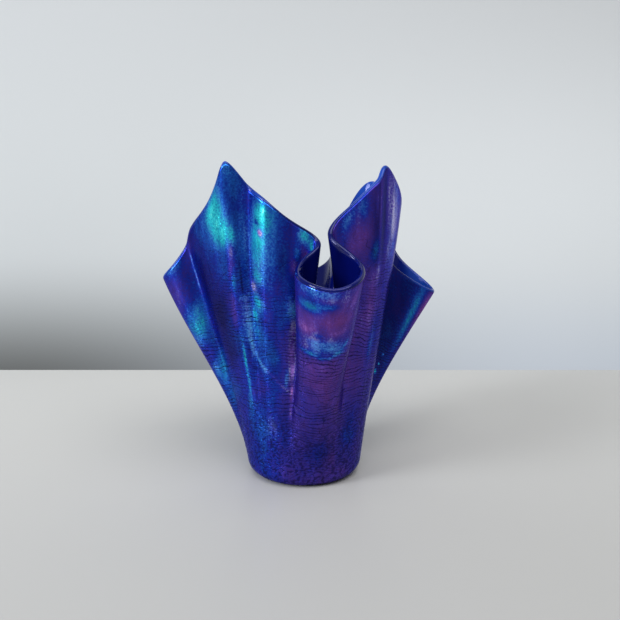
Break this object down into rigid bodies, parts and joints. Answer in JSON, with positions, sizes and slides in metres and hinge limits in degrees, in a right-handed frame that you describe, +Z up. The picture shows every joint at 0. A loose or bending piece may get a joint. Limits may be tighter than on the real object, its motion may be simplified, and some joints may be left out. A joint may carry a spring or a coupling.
{
  "type": "handkerchief vase",
  "caption": "Free-standing handkerchief vase: a draped square of cobalt glass with high corners, folded sides and a lustre film on its outer face.",
  "frame": {"origin": "centre of the flat underside of the foot", "axes": "+Z up through the vase; the tightest fold faces -Y"},
  "size_m": [0.1676, 0.1728, 0.1826],
  "materials": {
    "cobalt_glass": "glossy, deep cobalt, nearly opaque",
    "lustre_film": "iridescent blue, violet and teal, finely crackled"
  },
  "bodies": {
    "root": {"glass_body": "cobalt_glass", "lustre_skin": "lustre_film"}
  },
  "joints": []
}
